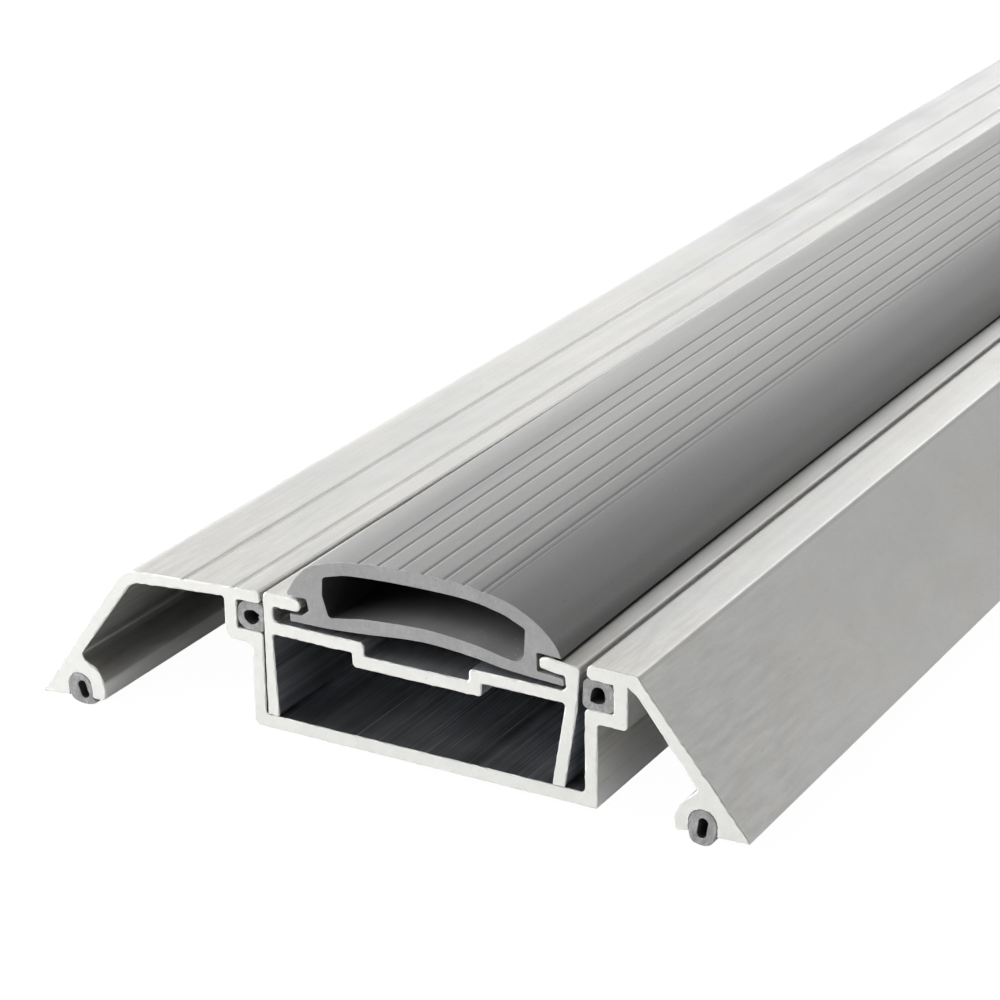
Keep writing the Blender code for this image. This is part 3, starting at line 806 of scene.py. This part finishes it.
def vinyl(name, dark, light, rough, grain, mottle=0.0, shades=(), along=()):
    """Grey vinyl with fine light and dark specks, a soft lengthwise cast and a matt skin. Its colour varies
    between dark and light, rough is its mean roughness and grain the height of its grain in metres.
    mottle smears it with darker and lighter marks, as a blade leaves on a cut. shades and along are pairs of
    a place and a factor that paint light and shade into it, across the section and away from the cut ends."""
    s = Surface(name)
    away, number = s.specks(0.55, 0.55, 0.55)
    spot = s.ranged(away, 0.1, 0.22, 1.0, 0.0)
    bright = s.both(spot, s.ranged(number, 0.86, 0.9, 0.0, 1.0))
    dull = s.both(spot, s.ranged(number, 0.1, 0.14, 1.0, 0.0))
    cast = s.noise(s.stretched(5, 90, 5, 2.5), 3.0)
    fine_grain = s.noise(s.stretched(0.28, 0.28, 0.28, 6.1), 3.0, 0.6)
    body = s.sum_of((cast, 0.6), (fine_grain, 0.4))
    colour = s.mixed(s.ranged(body, 0.3, 0.7, 0.0, 1.0), (*dark, 1), (*light, 1))
    colour = s.mixed(s.maths("MULTIPLY", bright, 0.3), colour, (0.5, 0.5, 0.49, 1))
    colour = s.mixed(s.maths("MULTIPLY", dull, 0.45), colour, (0.06, 0.06, 0.06, 1))
    if mottle:
        smears = s.noise(s.stretched(0.6, 0.6, 1.1, 9.3), 4.0, 0.65, 0.8)
        colour = s.mixed(s.ranged(smears, 0.5, 0.72, 0.0, mottle), colour, (0.1, 0.1, 0.105, 1))
        colour = s.mixed(s.ranged(smears, 0.5, 0.28, 0.0, mottle), colour, (0.5, 0.5, 0.5, 1))
    # Painted light and shade, across the section and along the strip
    for place, pairs in ((s.section()[0], shades), (s.end_distance(), along)):
        if pairs:
            colour = s.scaled(colour, s.stepped(place, pairs))
    s.set(s.shader.inputs["Base Color"], colour)
    s.set(s.shader.inputs["Roughness"], s.ranged(fine_grain, 0.3, 0.7, rough - 0.05, rough + 0.07))
    s.bump((fine_grain, grain), (cast, 0.00004))
    return s.material


def zinc():
    """Bright zinc plate, slightly uneven, with fine turning marks."""
    s = Surface("zinc_plate")
    cloud = s.noise(s.stretched(1.6, 1.6, 1.6), 4.0)
    turning = s.noise(s.stretched(3, 3, 0.12), 2.0)
    colour = s.mixed(s.ranged(cloud, 0.3, 0.7, 0, 1), (0.50, 0.51, 0.52, 1), (0.68, 0.68, 0.66, 1))
    s.set(s.shader.inputs["Base Color"], colour)
    s.set(s.shader.inputs["Metallic"], 1.0)
    s.set(s.shader.inputs["Roughness"], s.ranged(turning, 0.3, 0.7, 0.26, 0.42))
    s.bump((turning, 0.000012), (cloud, 0.000015))
    return s.material


# Painted light and shade on the crown, as factors across its section, by x, and along it, by the distance from
# the cut end
CROWN_LIGHT = (
    (-16.0, 0.76), (-10.0, 0.96), (-3.0, 1.24), (6.5, 1.22), (9.5, 1.03), (13.0, 0.89), (16.0, 0.94),
    (17.2, 1.1), (17.8, 0.8),
)
CROWN_END_LIGHT = ((0.0, 0.8), (70.0, 1.03), (150.0, 1.08))
# Painted shade across the crown's hollow, darkest on its left
HOLLOW_LIGHT = ((-9.0, 0.25), (6.0, 1.7))
VINYL = ((0.225, 0.225, 0.223), (0.29, 0.29, 0.287))
# The crown's hollow: the same vinyl, painted darker as shade
HOLLOW_SHADE_VINYL = ((0.11, 0.11, 0.11), (0.14, 0.14, 0.14))

metal_sides = mill_metal()
metal_ends = cut_metal()
skin = vinyl("grey_vinyl_skin", *VINYL, 0.47, 0.00003)
crown_skin = vinyl("grey_vinyl_crown", *VINYL, 0.47, 0.00003, shades=CROWN_LIGHT, along=CROWN_END_LIGHT)
crown_bore = vinyl("grey_vinyl_crown_bore", *HOLLOW_SHADE_VINYL, 0.6, 0.00003, shades=HOLLOW_LIGHT)
sliced = vinyl("grey_vinyl_cut", (0.225, 0.225, 0.225), (0.31, 0.31, 0.308), 0.62, 0.00005, mottle=0.12)
torn = vinyl("grey_vinyl_torn", (0.2, 0.2, 0.2), (0.34, 0.34, 0.338), 0.66, 0.00007, mottle=0.5)
# The holes in the gaskets and seals: the same vinyl, painted nearly black as shade
bore = vinyl("grey_vinyl_bore", (0.045, 0.045, 0.045), (0.06, 0.06, 0.06), 0.6, 0.00003)
plated = zinc()

# ---- Pieces --------------------------------------------------------------------------------------------

END_RINGS = (0.4, 1.5, 6.0, 20.0, 60.0)  # from a cut end
CROWN_RING_SPACING = 6.0

# The soft crown's lean and sag. Each sets in from a height on, over a blend, and the lean over a run from
# the cut end. The wall at the end of the slot for the left flange leans by a share only.
LEAN = 1.1
LEAN_RUN = 75.0
LEAN_FROM = 16.4
LEAN_BLEND = 0.9
SLOT_WALL = (-15.3, -14.3)
SLOT_WALL_TOP = 17.7
SLOT_WALL_SHARE = 0.3
SAG = 0.12
SAG_FROM = 17.2
SAG_BLEND = 4.6


def ring_places(spacing=None):
    """Places along Y for the rings between the two cut ends: close together near the ends."""
    near = [-HALF_LENGTH + s for s in END_RINGS]
    far = [HALF_LENGTH - s for s in reversed(END_RINGS)]
    if spacing is None:
        return near + far
    count = int((far[0] - near[-1]) / spacing)
    return near + [near[-1] + (far[0] - near[-1]) * i / count for i in range(1, count)] + far


def held(value):
    """The value, held between 0 and 1."""
    return min(1.0, max(0.0, value))


def crown_bend(x, y, z):
    """The soft crown leans to the left away from its cut ends and sags a little. Below the flanges it stays
    in place, and so, nearly, does the wall that the left flange points at."""
    from_end = HALF_LENGTH - abs(y)
    settled = 1.0 - math.exp(-from_end / (LEAN_RUN - 2.0 * x))
    share = held((z - LEAN_FROM) / LEAN_BLEND)
    if SLOT_WALL[0] < x < SLOT_WALL[1] and z < SLOT_WALL_TOP:
        share *= SLOT_WALL_SHARE
    lean = LEAN * settled * (1.0 - x * 0.016) * (1.0 + 0.2 * noise.noise(Vector((y / 62.0, 3.7, 0.0))))
    sag = SAG * settled * (0.5 + 0.5 * noise.noise(Vector((y / 48.0, 0.0, 8.1))))
    return (x - lean * share, y, z - sag * held((z - SAG_FROM) / SAG_BLEND))


def dressed(obj, body, slot, *nodes):
    """Hides the CAD nodes that a piece stands in for, and attaches the piece to the body that carries it. slot
    is not used.
    """
    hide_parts(*nodes)
    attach(obj, body)


METAL_RAGGED = 0.17
SINK_YS = (-300.0, -100.0, 100.0, 300.0)
SINK_RINGS = ((4.78, 2.1), (2.5, 0.2), (2.5, -1.0))  # radius and height of a countersunk fixing hole
SEAT_RINGS = ((3.6, 14.0), (3.6, 9.0))  # the same for the bore that an insert sits in

base = strip("base_extrusion", [base_outline()], ring_places(), METAL_RAGGED, (metal_sides, metal_ends))
cut_with(base, [cylinder_tool(f"sink_{i}", SINK_RINGS, 0, y) for i, y in enumerate(SINK_YS)])
dressed(base, "base", "mill_aluminium", "base")

riser = strip("riser_extrusion", [riser_outline()], ring_places(), METAL_RAGGED, (metal_sides, metal_ends))
cut_with(riser, [cylinder_tool(f"seat_{i}", SEAT_RINGS, SCREW_X, y) for i, y in enumerate(SCREW_YS)])
dressed(riser, "riser", "mill_aluminium", "riser")

crown = strip(
    "crown_strip",
    [crown_outline(), crown_hollow()],
    ring_places(CROWN_RING_SPACING),
    0.06,
    (crown_skin, sliced, crown_bore),
    step=0.45,
    bend=crown_bend,
)
dressed(crown, "riser", "grey_vinyl", "crown")

left_gasket, right_gasket = gasket_outlines()
left_seal_lower = [
    (-49.95, -1.8), (-49.45, -2.6), (-48.6, -3.0), (-47.4, -3.02), (-46.4, -2.78), (-45.95, -2.4),
    (-46.4, -2.15),
]
right_seal_lower = [
    (33.92, 0.5), (33.98, -0.3), (34.45, -0.95), (35.3, -1.18), (36.2, -1.1), (36.85, -0.6), (37.22, 0.3),
]
left_seal = seal_outlines(LEFT_SEAL, left_seal_lower, (-48.03, -0.62), (-47.67, -1.67))
right_seal = seal_outlines(RIGHT_SEAL, right_seal_lower, (35.68, 1.55), (35.48, 0.3))
soft_tubes = [  # name, node, outlines, raggedness and the recess of the two cut ends
    ("left_gasket_tube", "left_side_gasket", left_gasket, 0.07, (0.12, 0.2)),
    ("right_gasket_tube", "right_side_gasket", right_gasket, 0.07, (0.1, 0.15)),
    ("left_foot_tube", "left_foot_seal", left_seal, 0.08, (0.0, 0.0)),
    ("right_foot_tube", "right_foot_seal", right_seal, 0.08, (0.0, 0.0)),
]
for name, node, outlines, ragged, recess in soft_tubes:
    tube = strip(name, outlines, ring_places(), ragged, (skin, torn, bore), step=0.3, recess=recess)
    dressed(tube, "base", "grey_vinyl", node)

PITCH = INCH / 24
SCREW_RADIUS = 2.4
THREAD_DEPTH = 0.475
SCREW_TOP = SCREW_FOOT + INCH / 2
TOP_FACE_RADIUS = 1.95
FOOT_FACE_RADIUS = 1.5
RINGS_A_TURN = 8
SLOT_WIDTH = 0.9
SLOT_DEPTH = 1.1


def thread_radius(radius, angle, z):
    """The screw's radius at an angle and height: a V thread that fades out at both ends."""
    turn = (z / PITCH - angle / (2 * math.pi)) % 1.0
    return min(radius, SCREW_RADIUS - THREAD_DEPTH * abs(2 * turn - 1))


def screw_profile():
    """Rings from the top face down to the foot, narrower at both ends."""
    rings = []
    for i in range(round((SCREW_TOP - SCREW_FOOT) * RINGS_A_TURN / PITCH)):
        z = SCREW_TOP - i * PITCH / RINGS_A_TURN
        radius = min(SCREW_RADIUS, TOP_FACE_RADIUS + (SCREW_TOP - z), FOOT_FACE_RADIUS + (z - SCREW_FOOT))
        rings.append((radius, z))
    return [*rings, (FOOT_FACE_RADIUS, SCREW_FOOT)]


def slot_tool(y):
    """The box that cuts the driver slot across a jack screw's top."""
    work = bmesh.new()
    bmesh.ops.create_cube(work, size=1.0)
    for vert in work.verts:
        x = SCREW_X + ORIGIN_X + vert.co.x * 10
        z = ORIGIN_Z + SCREW_TOP + (1.0 if vert.co.z > 0 else -SLOT_DEPTH)
        vert.co = Vector((x, y + vert.co.y * SLOT_WIDTH, z)) * MM
    return finished(work, "slot_tool")


# An insert's head, neck, crimped bulge and body, as (radius, z) round its bore
INSERT_BODY = 3.3
INSERT_BODY_TOP = 8.3
INSERT_PROFILE = [
    (2.52, 13.15), (4.45, 13.15), (4.62, 13.09), (4.7, 12.93), (4.7, 12.5), (4.6, 12.36),
    (INSERT_BODY, 12.35), (INSERT_BODY, 10.1), (3.9, 10.0), (4.2, 9.7), (4.2, 8.7), (3.9, 8.4),
    (INSERT_BODY, INSERT_BODY_TOP), (INSERT_BODY, 5.1), (3.1, 4.9), (2.52, 4.9),
]
FLUTES = 24
FLUTE_DEPTH = 0.1


def fluted(radius, angle, z):
    """Fine flutes on the insert's lower body, to grip the deck."""
    if radius != INSERT_BODY or z > INSERT_BODY_TOP:
        return radius
    return radius - FLUTE_DEPTH * (0.5 + 0.5 * math.cos(FLUTES * angle))


for i, y in enumerate(SCREW_YS, start=1):
    screw = turned(screw_profile(), SCREW_X, y, 40, thread_radius)
    jack = finished(screw, f"jack_screw_thread_{i}", [plated], crisp=35)
    cut_with(jack, [slot_tool(y)])
    dressed(jack, f"jack_{i}", "zinc_steel", f"jack_screw_{i}")
    insert = turned(INSERT_PROFILE, SCREW_X, y, 96, fluted, hollow=True)
    insert = finished(insert, f"threaded_insert_{i}", [plated], crisp=35)
    dressed(insert, "riser", "zinc_steel", f"insert_{i}")

# ---- Floor, light and camera ---------------------------------------------------------------------------

FLOOR_SIZE = 30.0  # metres
FLOOR_GLOW = 0.93  # the share of its own light in what the camera sees of the floor
GLOW_STRENGTH = 1.05
WORLD_LIGHT = 0.3


def camera_ray_switch(tree, seen, felt):
    """A closure that the camera sees as one thing and light meets as another."""
    path = tree.nodes.new("ShaderNodeLightPath")
    mix = tree.nodes.new("ShaderNodeMixShader")
    tree.links.new(path.outputs["Is Camera Ray"], mix.inputs[0])
    tree.links.new(felt, mix.inputs[1])
    tree.links.new(seen, mix.inputs[2])
    return mix.outputs[0]


def make_floor():
    """A pale sheet that looks almost white to the camera, with a soft shadow on it."""
    bpy.ops.mesh.primitive_plane_add(size=FLOOR_SIZE)
    floor = bpy.context.object
    floor.name = "studio_floor"
    made = bpy.data.materials.new("pale_floor")
    made.use_nodes = True
    tree = made.node_tree
    tree.nodes.clear()
    paper = tree.nodes.new("ShaderNodeBsdfDiffuse")
    paper.inputs["Color"].default_value = (0.9, 0.9, 0.9, 1)
    bounce = tree.nodes.new("ShaderNodeBsdfDiffuse")
    bounce.inputs["Color"].default_value = (0.85, 0.85, 0.85, 1)
    glow = tree.nodes.new("ShaderNodeEmission")
    glow.inputs["Color"].default_value = (1, 1, 1, 1)
    glow.inputs["Strength"].default_value = GLOW_STRENGTH
    lit = tree.nodes.new("ShaderNodeMixShader")
    lit.inputs[0].default_value = FLOOR_GLOW
    tree.links.new(paper.outputs[0], lit.inputs[1])
    tree.links.new(glow.outputs[0], lit.inputs[2])
    output = tree.nodes.new("ShaderNodeOutputMaterial")
    tree.links.new(camera_ray_switch(tree, lit.outputs[0], bounce.outputs[0]), output.inputs["Surface"])
    floor.data.materials.append(made)


def make_world():
    """A white backdrop that lights the strip only a little."""
    world = bpy.data.worlds.new("studio")
    bpy.context.scene.world = world
    world.use_nodes = True
    tree = world.node_tree
    tree.nodes.clear()
    seen = tree.nodes.new("ShaderNodeBackground")
    seen.inputs["Color"].default_value = (1, 1, 1, 1)
    felt = tree.nodes.new("ShaderNodeBackground")
    felt.inputs["Color"].default_value = (1, 1, 1, 1)
    felt.inputs["Strength"].default_value = WORLD_LIGHT
    output = tree.nodes.new("ShaderNodeOutputWorld")
    tree.links.new(camera_ray_switch(tree, seen.outputs[0], felt.outputs[0]), output.inputs["Surface"])


# Each softbox: name, bearing in degrees from +X towards +Y, height angle in degrees, watts
SOFTBOXES = [
    ("left_low", 180, 4, 63.8),
    ("left", 195, 10, 18.9),
    ("front_left_high", 225, 35, 16.5),
    ("back_left_low", 135, 10, 1.6),
    ("back_low", 90, 10, 2.4),
    ("back_high", 90, 35, 3.5),
]
SOFTBOX_SIZE = 1.0
SOFTBOX_DISTANCE = 1.6
LIT_POINT = Vector((0.0, -0.4, 0.0))
SOFTBOX_LIFT = Vector((0.0, 0.0, 0.12))


def make_lights():
    """Square softboxes that all look at one point near the cut end."""
    for name, bearing, height, watts in SOFTBOXES:
        data = bpy.data.lights.new(name, "AREA")
        data.shape = "SQUARE"
        data.size = SOFTBOX_SIZE
        data.energy = watts
        light = bpy.data.objects.new(name, data)
        across, up = math.radians(bearing), math.radians(height)
        away = Vector((math.cos(up) * math.cos(across), math.cos(up) * math.sin(across), math.sin(up)))
        light.location = LIT_POINT + away * SOFTBOX_DISTANCE + SOFTBOX_LIFT
        light.rotation_euler = (LIT_POINT - light.location).to_track_quat("-Z", "Y").to_euler()
        light.visible_camera = False
        bpy.context.scene.collection.objects.link(light)


# Where the camera stands, in metres, and its angles in degrees
CAMERA_PLACE = (0.17109, -0.72314, 0.16118)
CAMERA_AZIMUTH = 30.054
CAMERA_ELEVATION = 21.898
CAMERA_ROLL = -0.817
CAMERA_LENS = 110.39  # millimetres, on a sensor 36 mm wide


def make_camera():
    """Looks down at the cut end from the right, turned by the azimuth to the left of +Y."""
    azimuth, elevation = math.radians(CAMERA_AZIMUTH), math.radians(CAMERA_ELEVATION)
    level = Vector((-math.sin(azimuth), math.cos(azimuth), 0.0))
    forward = level * math.cos(elevation) - Vector((0.0, 0.0, math.sin(elevation)))
    right = Vector((math.cos(azimuth), math.sin(azimuth), 0.0))
    down = forward.cross(right)
    roll = math.radians(CAMERA_ROLL)
    rolled_right = right * math.cos(roll) - down * math.sin(roll)
    rolled_down = right * math.sin(roll) + down * math.cos(roll)
    data = bpy.data.cameras.new("camera")
    data.sensor_width = 36.0
    data.lens = CAMERA_LENS
    data.clip_start = 0.01
    data.clip_end = 100.0
    camera = bpy.data.objects.new("camera", data)
    turn = Matrix((rolled_right, -rolled_down, -forward)).transposed()
    camera.matrix_world = Matrix.Translation(CAMERA_PLACE) @ turn.to_4x4()
    bpy.context.scene.collection.objects.link(camera)
    bpy.context.scene.camera = camera


make_floor()
make_world()
make_lights()
make_camera()
bpy.context.scene.view_settings.view_transform = "Standard"
